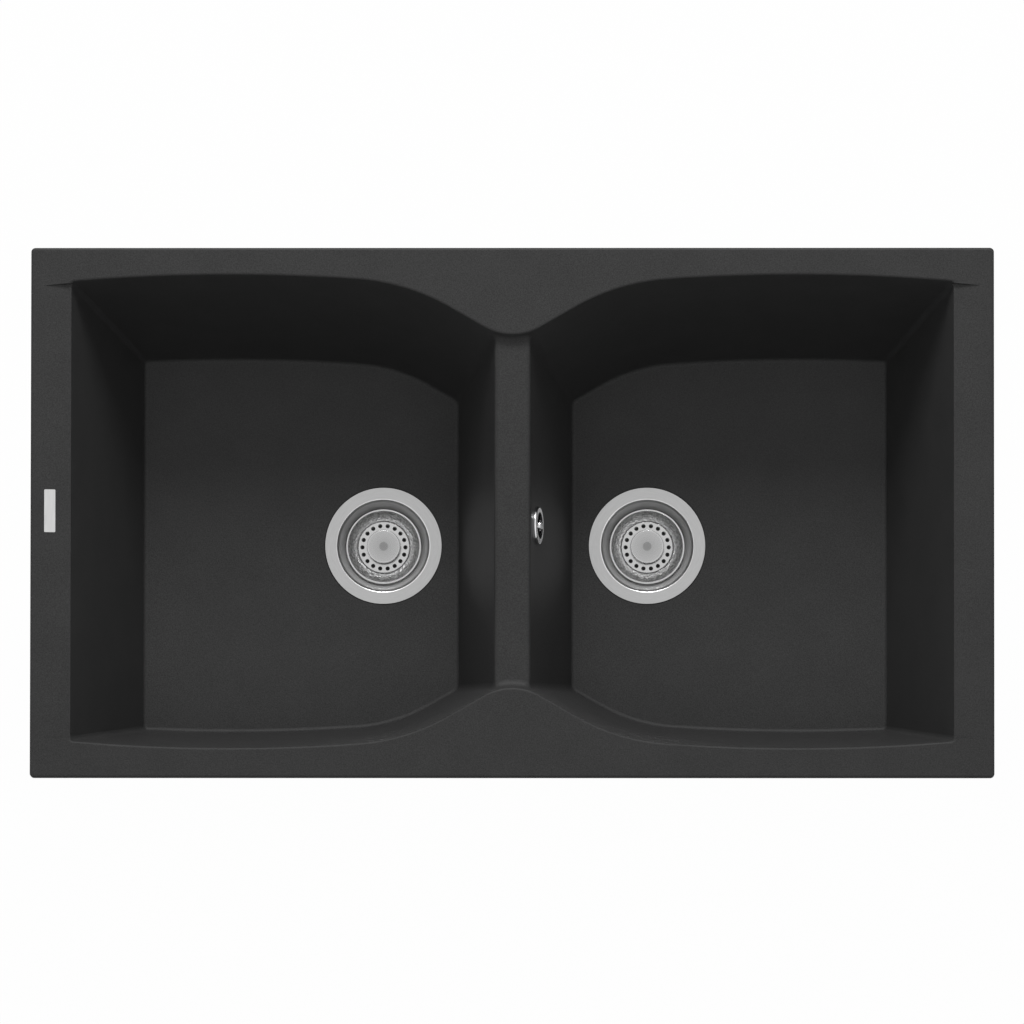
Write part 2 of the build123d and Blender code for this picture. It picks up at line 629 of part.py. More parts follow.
hose_y = OVERFLOW_PLANE.origin.Y
hose_z = FLOOR - SPIGOT_DEPTH
hose_top = spout_end + HOSE_GRIP
hose_end = DRAIN_X + SPIGOT_TIP + HOSE_GRIP
with BuildPart() as overflow_hose:
    with BuildLine(Plane(origin=(0, hose_y, 0), x_dir=(1, 0, 0), z_dir=(0, -1, 0))):
        drop = Line((SPOUT_X, hose_top), (SPOUT_X, hose_z + HOSE_BEND))
        turn = JernArc(drop @ 1, (0, -1), HOSE_BEND, 90)
        Line(turn @ 1, (hose_end, hose_z))
    with BuildSketch(Plane(origin=(SPOUT_X, hose_y, hose_top), z_dir=(0, 0, -1))):
        Circle(HOSE_RADIUS)
        Circle(HOSE_RADIUS - HOSE_WALL, mode=Mode.SUBTRACT)
    sweep()
save(overflow_hose.part, "overflow_hose")

with BuildPart() as hose_clips:
    for clip_plane in (
        Plane(origin=(SPOUT_X, hose_y, hose_top - CLIP_WIDTH / 2), x_dir=(1, 0, 0), z_dir=(0, 0, -1)),
        Plane(origin=(hose_end - CLIP_WIDTH / 2, hose_y, hose_z), x_dir=(0, 1, 0), z_dir=(-1, 0, 0)),
    ):
        with BuildSketch(clip_plane):
            Circle(HOSE_RADIUS + CLIP_THICKNESS)
            with Locations((0, HOSE_RADIUS + CLIP_BOX_HEIGHT / 2)):
                Rectangle(CLIP_BOX_WIDTH, CLIP_BOX_HEIGHT)
            Circle(HOSE_RADIUS, mode=Mode.SUBTRACT)
        extrude(amount=CLIP_WIDTH)
save(hose_clips.part, "hose_clips")

# --- Pipework under the bowls -------------------------------------------------------------------
THREAD_END = FLOOR + NECK_END
COLLAR_TOP = THREAD_END - WASHER
PIPE_Z = COLLAR_TOP - COLLAR - BEND_DROP - BEND_RADIUS
SOCKET_X = -DRAIN_X + BEND_RADIUS + BEND_DROP
TEE_SOCKET_X = DRAIN_X - PIPE_RADIUS - BEND_DROP
PIPE_BORE = PIPE_RADIUS - PIPE_WALL


def make_nut(plane, thread_radius, outer_radius, grip):
    """A slip nut, whose lip lies on `plane` and whose thread faces along it."""
    with BuildPart() as nut:
        with BuildSketch(plane):
            RegularPolygon(outer_radius, NUT_SIDES)
        extrude(amount=NUT_LIP + grip)
        with BuildSketch(plane):
            Circle(PIPE_RADIUS + GAP)
        extrude(amount=NUT_LIP, mode=Mode.SUBTRACT)
        with BuildSketch(plane.offset(NUT_LIP)):
            Circle(thread_radius + RUNNING)
        extrude(amount=grip, mode=Mode.SUBTRACT)
    return nut.part


def make_collar(x):
    """The collar that a waste's nut pulls up against its washer."""
    with BuildPart() as collar:
        with BuildSketch(Plane.XY.offset(COLLAR_TOP)):
            with Locations((x, DRAIN_Y)):
                Circle(THREAD_RADIUS - GAP)
        extrude(amount=-COLLAR)
    return collar.part


for side, sign in SIDES.items():
    neck_plane = Plane(origin=(sign * DRAIN_X, DRAIN_Y, THREAD_END), z_dir=(0, 0, 1))
    save(make_ring(neck_plane, THREAD_RADIUS - GAP, THREAD_BORE, -WASHER), f"waste_washer_{side}")
    lip_plane = neck_plane.offset(-WASHER - COLLAR - NUT_LIP)
    save(make_nut(lip_plane, THREAD_RADIUS, NUT_RADIUS, NUT_GRIP), f"waste_nut_{side}")

pipe_plane = Plane(origin=(0, DRAIN_Y, 0), x_dir=(1, 0, 0), z_dir=(0, -1, 0))
with BuildPart() as waste_bend:
    add(make_collar(-DRAIN_X))
    with BuildLine(pipe_plane) as bend_path:
        fall = Line((-DRAIN_X, COLLAR_TOP), (-DRAIN_X, PIPE_Z + BEND_RADIUS))
        elbow = JernArc(fall @ 1, (0, -1), BEND_RADIUS, 90)
        Line(elbow @ 1, (SOCKET_X, PIPE_Z))
    with BuildSketch(Plane(origin=(-DRAIN_X, DRAIN_Y, COLLAR_TOP), z_dir=(0, 0, -1))):
        Circle(PIPE_RADIUS)
    sweep(path=bend_path.line)
    with BuildSketch(Plane(origin=(SOCKET_X, DRAIN_Y, PIPE_Z), z_dir=(1, 0, 0))):
        Circle(SOCKET_RADIUS)
    extrude(amount=SOCKET_LENGTH)
    with BuildSketch(Plane(origin=(SOCKET_X + PIPE_WALL, DRAIN_Y, PIPE_Z), z_dir=(1, 0, 0))):
        Circle(PIPE_RADIUS + CLEAR)
    extrude(amount=SOCKET_LENGTH - PIPE_WALL, mode=Mode.SUBTRACT)
    with BuildLine(pipe_plane) as bore_path:
        add(bend_path.line)
        Line((SOCKET_X, PIPE_Z), (SOCKET_X + PIPE_WALL, PIPE_Z))
    with BuildSketch(Plane(origin=(-DRAIN_X, DRAIN_Y, COLLAR_TOP), z_dir=(0, 0, -1))):
        Circle(PIPE_BORE)
    sweep(path=bore_path.line, mode=Mode.SUBTRACT)
save(waste_bend.part, "waste_bend")

OUTLET_TOP = PIPE_Z - TEE_OUTLET_DROP
OUTLET_END = OUTLET_TOP - THREAD_LENGTH
with BuildPart() as outlet_tee:
    add(make_collar(DRAIN_X))
    with BuildSketch(Plane.XY.offset(COLLAR_TOP)):
        with Locations((DRAIN_X, DRAIN_Y)):
            Circle(PIPE_RADIUS)
    extrude(amount=OUTLET_TOP - COLLAR_TOP)
    with BuildSketch(Plane.XY.offset(OUTLET_TOP)):
        with Locations((DRAIN_X, DRAIN_Y)):
            Circle(THREAD_RADIUS)
    extrude(amount=-THREAD_LENGTH)
    tee_plane = Plane(origin=(DRAIN_X, DRAIN_Y, PIPE_Z), z_dir=(-1, 0, 0))
    with BuildSketch(tee_plane):
        Circle(PIPE_RADIUS)
    extrude(amount=DRAIN_X - TEE_SOCKET_X)
    with BuildSketch(tee_plane.offset(DRAIN_X - TEE_SOCKET_X)):
        Circle(SOCKET_RADIUS)
    extrude(amount=SOCKET_LENGTH)
    with BuildSketch(Plane.XY.offset(COLLAR_TOP)):
        with Locations((DRAIN_X, DRAIN_Y)):
            Circle(PIPE_BORE)
    extrude(amount=OUTLET_END - COLLAR_TOP, mode=Mode.SUBTRACT)
    with BuildSketch(tee_plane):
        Circle(PIPE_BORE)
    extrude(amount=DRAIN_X - TEE_SOCKET_X + PIPE_WALL, mode=Mode.SUBTRACT)
    with BuildSketch(tee_plane.offset(DRAIN_X - TEE_SOCKET_X + PIPE_WALL)):
        Circle(PIPE_RADIUS + CLEAR)
    extrude(amount=SOCKET_LENGTH - PIPE_WALL, mode=Mode.SUBTRACT)
save(outlet_tee.part, "outlet_tee")

left_mouth = SOCKET_X + SOCKET_LENGTH
right_mouth = TEE_SOCKET_X - SOCKET_LENGTH
pipe_start = Plane(origin=(left_mouth - PIPE_INSERT, DRAIN_Y, PIPE_Z), z_dir=(1, 0, 0))
cross_length = right_mouth - left_mouth + 2 * PIPE_INSERT
save(make_ring(pipe_start, PIPE_RADIUS, PIPE_BORE, cross_length), "cross_pipe")
for side, mouth, sign in (("left", left_mouth, 1), ("right", right_mouth, -1)):
    mouth_plane = Plane(origin=(mouth, DRAIN_Y, PIPE_Z), z_dir=(sign, 0, 0))
    save(make_ring(mouth_plane, SOCKET_RADIUS - GAP, PIPE_RADIUS, CONE_SEAL), f"pipe_seal_{side}")
    lip_plane = Plane(origin=(mouth + sign * (CONE_SEAL + NUT_LIP), DRAIN_Y, PIPE_Z), z_dir=(-sign, 0, 0))
    save(make_nut(lip_plane, SOCKET_RADIUS, NUT_RADIUS, NUT_GRIP), f"pipe_nut_{side}")

# --- Worktop clamps: drawn on the screw's axis, with the claw pointing along +X -----------------
BOSS_END = SEAL_THICKNESS - BOSS_HEIGHT
PLUG_TOP = TOP - PLUG_SKIN
HEAD_TOP = BOSS_END + CLAMP_SCREW_GRIP - CLAMP_SCREW_LENGTH
CLAW_BASE = HEAD_TOP + GAP

with BuildPart() as clamp_plugs:
    with BuildSketch(Plane.XY.offset(BOSS_END)):
        with Locations([(x, y) for x, y, _ in CLAMPS]):
            Circle(PLUG_RADIUS)
            Circle(CLAMP_SCREW_RADIUS + RUNNING, mode=Mode.SUBTRACT)
    extrude(amount=PLUG_TOP - BOSS_END)
save(clamp_plugs.part, "clamp_plugs")

with BuildPart() as clamp_screw:
    with BuildSketch(Plane.XY.offset(HEAD_TOP)):
        Circle(CLAMP_HEAD_RADIUS)
    extrude(amount=-CLAMP_HEAD_HEIGHT)
    with BuildSketch(Plane.XY.offset(HEAD_TOP)):
        Circle(CLAMP_SCREW_RADIUS)
    extrude(amount=CLAMP_SCREW_LENGTH)

with BuildPart() as clamp_claw:
    with BuildSketch(Plane.XZ):
        with BuildLine():
            Polyline(
                (-CLAW_WIDTH / 2, CLAW_BASE),
                (CLAW_REACH, CLAW_BASE),
                (CLAW_REACH, CLAW_BASE + CLAW_RISE),
                (CLAW_REACH - CLAW_SHEET, CLAW_BASE + CLAW_RISE),
                (CLAW_REACH - CLAW_SHEET, CLAW_BASE + CLAW_SHEET),
                (-CLAW_WIDTH / 2, CLAW_BASE + CLAW_SHEET),
                close=True,
            )
        make_face()
    extrude(amount=CLAW_WIDTH / 2, both=True)
    hub_corners = clamp_claw.edges().filter_by(Axis.Z).group_by(Axis.X)[0]
    fillet(hub_corners, CLAW_WIDTH / 2 - CLEAR)
    with BuildSketch(Plane.XY.offset(CLAW_BASE)):
        Circle(CLAMP_SCREW_RADIUS + RUNNING)
    extrude(amount=CLAW_SHEET, mode=Mode.SUBTRACT)
    with BuildSketch(Plane(origin=(CLAW_REACH, 0, CLAW_BASE + CLAW_RISE), x_dir=(0, 1, 0), z_dir=(-1, 0, 0))):
        with GridLocations(CLAW_WIDTH / CLAW_NOTCHES, CLAW_WIDTH, CLAW_NOTCHES, 1):
            Rectangle(CLAW_WIDTH / CLAW_NOTCHES / 2, 2 * NOTCH_DEPTH)
    extrude(amount=CLAW_SHEET, mode=Mode.SUBTRACT)

for number, (x, y, angle) in enumerate(CLAMPS, start=1):
    place = Location((x, y, 0), (0, 0, angle))
    save(clamp_screw.part.moved(place), f"clamp_screw_{number}")
    save(clamp_claw.part.moved(place), f"clamp_claw_{number}")
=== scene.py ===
"""Looks for the double bowl sink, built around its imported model. Metres, in the model's frame."""

import json
from math import cos, pi, radians, sin

import bpy
from mathutils import Matrix, Vector


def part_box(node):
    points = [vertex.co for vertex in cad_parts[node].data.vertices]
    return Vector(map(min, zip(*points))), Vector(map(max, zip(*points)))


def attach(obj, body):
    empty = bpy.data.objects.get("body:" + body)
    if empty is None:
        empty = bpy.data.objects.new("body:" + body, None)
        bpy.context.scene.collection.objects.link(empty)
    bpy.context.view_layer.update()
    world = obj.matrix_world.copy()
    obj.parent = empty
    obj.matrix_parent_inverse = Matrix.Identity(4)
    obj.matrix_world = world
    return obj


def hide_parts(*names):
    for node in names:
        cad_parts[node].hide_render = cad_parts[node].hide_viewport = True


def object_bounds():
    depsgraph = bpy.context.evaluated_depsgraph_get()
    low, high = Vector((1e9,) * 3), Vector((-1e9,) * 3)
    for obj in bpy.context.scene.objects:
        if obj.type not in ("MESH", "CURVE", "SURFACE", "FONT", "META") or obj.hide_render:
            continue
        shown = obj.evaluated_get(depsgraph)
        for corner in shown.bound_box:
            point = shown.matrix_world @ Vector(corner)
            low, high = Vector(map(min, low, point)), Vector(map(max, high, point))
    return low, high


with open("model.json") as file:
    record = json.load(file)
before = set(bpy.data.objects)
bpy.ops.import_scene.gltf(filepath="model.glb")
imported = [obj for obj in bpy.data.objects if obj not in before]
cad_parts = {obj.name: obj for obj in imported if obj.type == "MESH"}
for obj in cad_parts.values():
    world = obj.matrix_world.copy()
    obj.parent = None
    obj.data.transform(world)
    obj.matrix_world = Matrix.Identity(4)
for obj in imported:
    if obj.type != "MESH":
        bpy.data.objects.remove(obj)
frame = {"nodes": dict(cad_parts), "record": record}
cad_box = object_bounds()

MM = 0.001
CLAMP_COUNT = 8


# --- Places, read from the model ------------------------------------------------------------------
def middle(node):
    """The centre of a node's box."""
    low, high = (Vector(corner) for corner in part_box(node))
    return (low + high) / 2


def lowest(node):
    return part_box(node)[0][2]


def highest(node):
    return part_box(node)[1][2]


RIM_TOP = highest("sink_body")
DRAIN_X = middle("strainer_flange_right").x
DRAIN_Y = middle("strainer_flange_right").y
FLANGE_TOP = highest("strainer_flange_right")
KNOB_RADIUS = (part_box("basket_knob_right")[1][0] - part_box("basket_knob_right")[0][0]) / 2


# --- Materials ------------------------------------------------------------------------------------
# Nearly all of a noise lies between these two values.
NOISE_LOW = 0.3
NOISE_HIGH = 0.7

# The strainer: a painted highlight rings its flange's lip, and its cup turns dull just below the
# flange, where its colour is lifted as painted light.
LIP_RADIUS = 43.8 * MM
LIP_HIGHLIGHT_FULL = 0.35 * MM
LIP_HIGHLIGHT_GONE = 0.8 * MM
CUP_TOP = FLANGE_TOP - 1 * MM
CUP_DULL = FLANGE_TOP - 3 * MM

# Radii of the basket's pressed wall, from its root at the floor to its rolled rim. A painted
# highlight on the wall, brightest at the root, has faded by the next radius.
WALL_STARTS = 24 * MM
WALL_ROOT = 25.5 * MM
ROOT_HIGHLIGHT_GONE = 29 * MM
WALL_ENDS = 33 * MM
ROLL_STARTS = 34 * MM


class Nodes:
    """Adds and links the nodes of one tree."""

    def __init__(self, tree):
        self.tree = tree

    def node(self, kind, _settings=None, **inputs):
        """Adds a node. An input that is a socket is linked, and any other is set."""
        node = self.tree.nodes.new(kind)
        for name, value in (_settings or {}).items():
            setattr(node, name, value)
        for name, value in inputs.items():
            self.feed(node.inputs[name.replace("_", " ")], value)
        return node

    def feed(self, socket, value):
        if isinstance(value, bpy.types.NodeSocket):
            self.tree.links.new(value, socket)
        else:
            socket.default_value = value

    def math(self, operation, first, second=0.0):
        node = self.node("ShaderNodeMath", {"operation": operation})
        self.feed(node.inputs[0], first)
        self.feed(node.inputs[1], second)
        return node.outputs["Value"]

    def between(self, factor, low, high, start=0.0, end=1.0, steps="LINEAR"):
        """Maps a factor that runs from start to end on to low to high."""
        return self.node(
            "ShaderNodeMapRange",
            {"interpolation_type": steps},
            Value=factor,
            From_Min=start,
            From_Max=end,
            To_Min=low,
            To_Max=high,
        ).outputs["Result"]

    def mix(self, factor, first, second):
        """Mixes two shaders."""
        node = self.node("ShaderNodeMixShader", Fac=factor)
        self.feed(node.inputs[1], first)
        self.feed(node.inputs[2], second)
        return node.outputs["Shader"]


class Look(Nodes):
    """One procedural material: a shader with its own sockets set, and nodes that feed it."""

    def __init__(self, name, **sockets):
        self.material = bpy.data.materials.new(name)
        self.material.use_nodes = True
        super().__init__(self.material.node_tree)
        self.shader = self.tree.nodes["Principled BSDF"]
        for socket, value in sockets.items():
            self.shader.inputs[socket.replace("_", " ")].default_value = value
        self.place = self.node("ShaderNodeTexCoord").outputs["Object"]

    def noise(self, scale, detail=2.0, place=None, roughness=0.5):
        """A noise with so many cells to the metre, or to the unit of another place."""
        return self.node(
            "ShaderNodeTexNoise",
            Vector=place or self.place,
            Scale=scale,
            Detail=detail,
            Roughness=roughness,
        ).outputs["Fac"]

    def spread(self, noise, low, high):
        """Spreads a noise over low to high."""
        return self.between(noise, low, high, NOISE_LOW, NOISE_HIGH)

    def ramp(self, factor, *stops):
        """A colour ramp from (position, grey or colour) stops."""
        node = self.node("ShaderNodeValToRGB", Fac=factor)
        elements = node.color_ramp.elements
        while len(elements) < len(stops):
            elements.new(1.0)
        for element, (position, colour) in zip(elements, stops):
            if not isinstance(colour, tuple):
                colour = (colour, colour, colour)
            element.position = position
            element.color = (*colour, 1.0)
        return node.outputs["Color"]

    def shades(self, noise, dark, light):
        """A colour ramp over a noise, from dark to light."""
        return self.ramp(noise, (NOISE_LOW, dark), (NOISE_HIGH, light))

    def colour(self, socket):
        self.feed(self.shader.inputs["Base Color"], socket)

    def grey(self, tone):
        """Gives all three colours one value."""
        node = self.node("ShaderNodeCombineColor", Red=tone, Green=tone, Blue=tone)
        self.colour(node.outputs["Color"])

    def metallic(self, socket):
        self.feed(self.shader.inputs["Metallic"], socket)

    def roughness(self, socket):
        self.feed(self.shader.inputs["Roughness"], socket)

    def bump(self, height, distance, strength):
        node = self.node("ShaderNodeBump", Height=height, Distance=distance, Strength=strength)
        self.feed(self.shader.inputs["Normal"], node.outputs["Normal"])

    def around_drain(self):
        """Radius from and angle about the nearer of the two drain axes, and the height."""
        split = self.node("ShaderNodeSeparateXYZ", Vector=self.place)
        across = self.math("SUBTRACT", self.math("ABSOLUTE", split.outputs["X"]), DRAIN_X)
        along = self.math("SUBTRACT", split.outputs["Y"], DRAIN_Y)
        squares = self.math(
            "ADD", self.math("MULTIPLY", across, across), self.math("MULTIPLY", along, along)
        )
        return self.math("SQRT", squares), self.math("ARCTAN2", along, across), split.outputs["Z"]


def make_granite():
    """Black composite stone: matt, with a fine even grain and a few glints of quartz."""
    look = Look("granite_composite", IOR=1.45, Specular_IOR_Level=0.2)
    grain = look.noise(850.0, detail=3.0, roughness=0.65)
    fine = look.noise(2400.0, detail=1.0)
    cloud = look.noise(28.0)
    flecks = look.node(
        "ShaderNodeTexVoronoi", {"feature": "F1"}, Vector=look.place, Scale=620.0, Randomness=1.0
    ).outputs["Distance"]
    tone = look.math("MULTIPLY", look.spread(grain, 0.031, 0.063), look.spread(cloud, 0.95, 1.05))
    glint = look.between(flecks, 0.03, 0.0, start=0.0, end=0.16)
    look.grey(look.math("ADD", tone, glint))
    look.roughness(look.spread(grain, 0.42, 0.58))
    rise = look.math("ADD", grain, look.math("MULTIPLY", fine, 0.4))
    look.bump(rise, distance=0.16 * MM, strength=0.6)
    return look.material


def make_turned_steel():
    """Stainless sheet brushed round the drain's axis, with a painted highlight at its lip, and a
    duller cup whose lighter colour is painted light.
    """
    look = Look("turned_steel", IOR=2.5)
    radius, angle, height = look.around_drain()
    lines = look.node(
        "ShaderNodeCombineXYZ",
        X=look.math("MULTIPLY", radius, 2600.0),
        Y=look.math("MULTIPLY", angle, 5.0),
        Z=look.math("MULTIPLY", height, 900.0),
    ).outputs["Vector"]
    brushed = look.noise(1.0, detail=3.0, place=lines)
    off_lip = look.math("ABSOLUTE", look.math("SUBTRACT", radius, LIP_RADIUS))
    # Painted highlight: a thin ring of lighter colour at the lip, where the key light's reflection
    # falls.
    painted_lip_highlight = look.between(off_lip, 0.34, 0.0, LIP_HIGHLIGHT_FULL, LIP_HIGHLIGHT_GONE)
    # Painted light: below the flange the cup's colour is lifted, standing in for light that its
    # dull wall reflects.
    cup = look.between(height, 0.3, 0.0, CUP_DULL, CUP_TOP)
    look.grey(look.math("ADD", look.spread(brushed, 0.42, 0.465), look.math("ADD", painted_lip_highlight, cup)))
    look.metallic(look.between(height, 0.25, 1.0, CUP_DULL, CUP_TOP))
    look.roughness(look.between(height, 0.5, 0.3, CUP_DULL, CUP_TOP))
    look.bump(brushed, distance=0.012 * MM, strength=0.25)
    return look.material


def make_pressed_steel():
    """Bright pressed stainless: a smooth floor and rim, and a wall that the press left rippled,
    with painted reflections in its colour.
    """
    look = Look("pressed_steel", Metallic=1.0, IOR=2.5)
    radius = look.around_drain()[0]
    ripple = look.noise(420.0)
    fine = look.noise(1400.0)
    on_wall = look.math(
        "MULTIPLY",
        look.between(radius, 0.0, 1.0, WALL_STARTS, WALL_ROOT),
        look.between(radius, 1.0, 0.0, WALL_ENDS, ROLL_STARTS),
    )
    # Painted highlight: the wall is lighter near its root, standing in for the floor's reflection
    # in the curved wall.
    root = look.between(radius, 0.6, 0.12, WALL_ROOT, ROOT_HIGHLIGHT_GONE)
    # Painted reflections: lighter and darker patches that follow the ripples, added to the painted
    # highlight.
    painted_wall_reflections = look.math("ADD", root, look.between(ripple, -0.16, 0.2, start=0.36, end=0.64))
    tone = look.spread(fine, 0.49, 0.54)
    look.grey(look.math("ADD", tone, look.math("MULTIPLY", on_wall, painted_wall_reflections)))
    rough = look.spread(fine, 0.1, 0.16)
    look.roughness(look.math("ADD", rough, look.math("MULTIPLY", on_wall, 0.28)))
    waves = look.math("MULTIPLY", ripple, on_wall)
    rise = look.math("ADD", waves, look.math("MULTIPLY", fine, 0.02))
    look.bump(rise, distance=2.2 * MM, strength=0.7)
    return look.material


def make_turned_knob():
    """The knob's face, turned on a lathe: satin, with painted shade in its dimple and a painted
    highlight at its edge.
    """
    look = Look("turned_knob", Metallic=1.0, IOR=2.5)
    radius, angle, height = look.around_drain()
    lines = look.node(
        "ShaderNodeCombineXYZ", X=look.math("MULTIPLY", radius, 2400.0), Y=angle, Z=height
    ).outputs["Vector"]
    turned = look.noise(1.0, place=lines)
    out = look.between(radius, 0.0, 1.0, start=0.0, end=KNOB_RADIUS)
    # Painted light: darkest in the dimple as painted shade, lighter outward, and brightest at the
    # edge as a painted highlight.
    look.colour(look.ramp(out, (0.0, 0.24), (0.22, 0.25), (0.29, 0.37), (0.9, 0.43), (0.97, 0.62)))
    look.roughness(look.spread(turned, 0.2, 0.3))
    look.bump(turned, distance=0.012 * MM, strength=0.3)
    return look.material


def make_chrome():
    look = Look("chrome_plate", Metallic=1.0, IOR=2.5)
    haze = look.noise(260.0, detail=3.0)
    look.colour(look.shades(haze, (0.74, 0.74, 0.75), (0.8, 0.8, 0.81)))
    look.roughness(look.spread(haze, 0.1, 0.18))
    look.bump(haze, distance=0.02 * MM, strength=0.2)
    return look.material


def make_satin_plate():
    """A bare name plate, brushed along its length."""
    look = Look("satin_plate", Metallic=1.0, IOR=2.5)
    stretched = look.node(
        "ShaderNodeMapping", Vector=look.place, Scale=(2200.0, 60.0, 2200.0)
    ).outputs["Vector"]
    brushed = look.noise(1.0, place=stretched)
    look.colour(look.shades(brushed, (0.56, 0.56, 0.56), (0.61, 0.61, 0.605)))
    look.roughness(look.spread(brushed, 0.3, 0.42))
    look.bump(brushed, distance=0.02 * MM, strength=0.3)
    return look.material


def make_zinc():
    """Zinc plated steel with a faintly warm and cool passivation."""
    look = Look("zinc_steel", Metallic=1.0, IOR=2.5)
    cool, plain, warm = (0.47, 0.50, 0.55), (0.56, 0.56, 0.56), (0.60, 0.57, 0.50)
    look.colour(look.ramp(look.noise(160.0, detail=3.0), (0.3, cool), (0.52, plain), (0.72, warm)))
    look.roughness(look.spread(look.noise(900.0), 0.26, 0.42))
    look.bump(look.noise(1300.0), distance=0.03 * MM, strength=0.4)
    return look.material


def make_moulded(name, dark, light, rough):
    """Moulded plastic with a slight tone shift and the fine orange peel of a tool."""
    look = Look(name, IOR=1.49)
    peel = look.noise(1100.0)
    look.colour(look.shades(look.noise(45.0), dark, light))
    look.roughness(look.spread(peel, rough - 0.06, rough + 0.06))
    look.bump(peel, distance=0.05 * MM, strength=0.35)
    return look.material


def make_rubber():
    look = Look("black_rubber", IOR=1.5)
    look.colour(look.shades(look.noise(300.0, detail=3.0), 0.014, 0.03))
    look.roughness(look.spread(look.noise(900.0), 0.62, 0.8))
    look.bump(look.noise(1600.0), distance=0.04 * MM, strength=0.5)
    return look.material


GRANITE = make_granite()
TURNED_STEEL = make_turned_steel()
PRESSED_STEEL = make_pressed_steel()
TURNED_KNOB = make_turned_knob()
CHROME = make_chrome()
SATIN_PLATE = make_satin_plate()
ZINC = make_zinc()
RUBBER = make_rubber()
PIPE_PLASTIC = make_moulded("white_pipe", (0.66, 0.665, 0.66), (0.74, 0.74, 0.73), 0.36)
NUT_PLASTIC = make_moulded("black_nut", (0.018, 0.018, 0.019), (0.03, 0.03, 0.031), 0.42)
HOSE_PLASTIC = make_moulded("grey_hose", (0.42, 0.425, 0.43), (0.5, 0.505, 0.51), 0.44)
PLUG_PLASTIC = make_moulded("grey_plug", (0.2, 0.2, 0.2), (0.26, 0.26, 0.26), 0.48)

SLOT_LOOKS = {
    "granite": GRANITE,
    "stainless": TURNED_STEEL,
    "chrome": CHROME,
    "plate": SATIN_PLATE,
    "zinc_steel": ZINC,
    "rubber": RUBBER,
    "nut_plastic": NUT_PLASTIC,
    "hose_plastic": HOSE_PLASTIC,
    "plug_plastic": PLUG_PLASTIC,
    "pipe_plastic": PIPE_PLASTIC,
}
for part in frame["record"]["subparts"]:
    node = frame["nodes"][part["node"]]
    look = SLOT_LOOKS[part["material_slot"]]
    if part["node"].startswith("basket"):
        look = TURNED_KNOB if "knob" in part["node"] else PRESSED_STEEL
    node.data.materials.clear()
    node.data.materials.append(look)


# --- Pieces that the model keeps plain ------------------------------------------------------------
COLUMNS = 24
SHARP_EDGE = radians(40.0)


def ring(centre, across, along, radius):
    """Points round a centre. The radius may be a function of the angle."""
    points = []
    for column in range(COLUMNS):
        angle = 2 * pi * column / COLUMNS
        reach = radius(angle) if callable(radius) else radius
        points.append(centre + reach * (cos(angle) * across + sin(angle) * along))
    return points


def skin(name, rings, looped=False):
    """A closed mesh through rings of one size, capped at its ends unless it is looped."""
    count = len(rings[0])
    faces = []
    for first in range(len(rings) - (0 if looped else 1)):
        second = (first + 1) % len(rings)
        for column in range(count):
            after = (column + 1) % count
            low, high = first * count, second * count
            faces.append((low + column, low + after, high + after, high + column))
    if not looped:
        faces.append(tuple(reversed(range(count))))
        faces.append(tuple(range((len(rings) - 1) * count, len(rings) * count)))
    mesh = bpy.data.meshes.new(name)
    mesh.from_pydata([point for points in rings for point in points], [], faces)
    mesh.shade_smooth()
    mesh.set_sharp_from_angle(angle=SHARP_EDGE)
    piece = bpy.data.objects.new(name, mesh)
    bpy.context.collection.objects.link(piece)
    return piece


def fit(piece, look, body, node=None):
    """Gives a new piece its finish and the body it rides on, and hides the plain node it stands
    for.
    """
    piece.data.materials.append(look)
    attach(piece, body)
    if node:
        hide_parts(node)


X_AXIS = Vector((1.0, 0.0, 0.0))
Y_AXIS = Vector((0.0, 1.0, 0.0))
Z_AXIS = Vector((0.0, 0.0, 1.0))

HOSE_BEND = 45 * MM
HOSE_WALL = 2 * MM
HOSE_CUFF = 22 * MM
RIB_PITCH = 4 * MM
RIB_DEPTH = 1.4 * MM
RIB_STEPS = 8


def hose_frames(step):
    """Steps along the overflow hose, and its radius.

    Each step has its centre, an axis across, and the distances from the first and nearer end.
    """
    low, high = (Vector(corner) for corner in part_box("overflow_hose"))
    radius = (high.y - low.y) / 2
    top = Vector((low.x + radius, low.y + radius, high.z))
    corner = Vector((top.x + HOSE_BEND, top.y, low.z + radius + HOSE_BEND))
    drop = top.z - corner.z
    turn = HOSE_BEND * pi / 2
    length = drop + turn + high.x - corner.x
    steps = round(length / step)
    frames = []
    for number in range(steps + 1):
        at = length * number / steps
        if at < drop:
            centre, bent = top - at * Z_AXIS, 0.0
        elif at < drop + turn:
            bent = (at - drop) / HOSE_BEND
            centre = corner - HOSE_BEND * (cos(bent) * X_AXIS + sin(bent) * Z_AXIS)
        else:
            bent = pi / 2
            centre = corner - HOSE_BEND * Z_AXIS + (at - drop - turn) * X_AXIS
        outward = cos(bent) * X_AXIS + sin(bent) * Z_AXIS
        frames.append((centre, outward, at, min(at, length - at)))
    return frames, radius


def make_ribbed_hose():
    """The overflow hose, ribbed all along between its two plain cuffs."""
    frames, radius = hose_frames(RIB_PITCH / RIB_STEPS)
    outside, inside = [], []
    for centre, outward, at, from_end in frames:
        wave = 0.5 - 0.5 * cos(2 * pi * at / RIB_PITCH)
        groove = RIB_DEPTH * wave if from_end > HOSE_CUFF else 0.0
        outside.append(ring(centre, outward, Y_AXIS, radius - groove))
        inside.append(ring(centre, outward, Y_AXIS, radius - HOSE_WALL))
    piece = skin("ribbed_hose", outside + inside[::-1], looped=True)
    fit(piece, HOSE_PLASTIC, "sink", "overflow_hose")


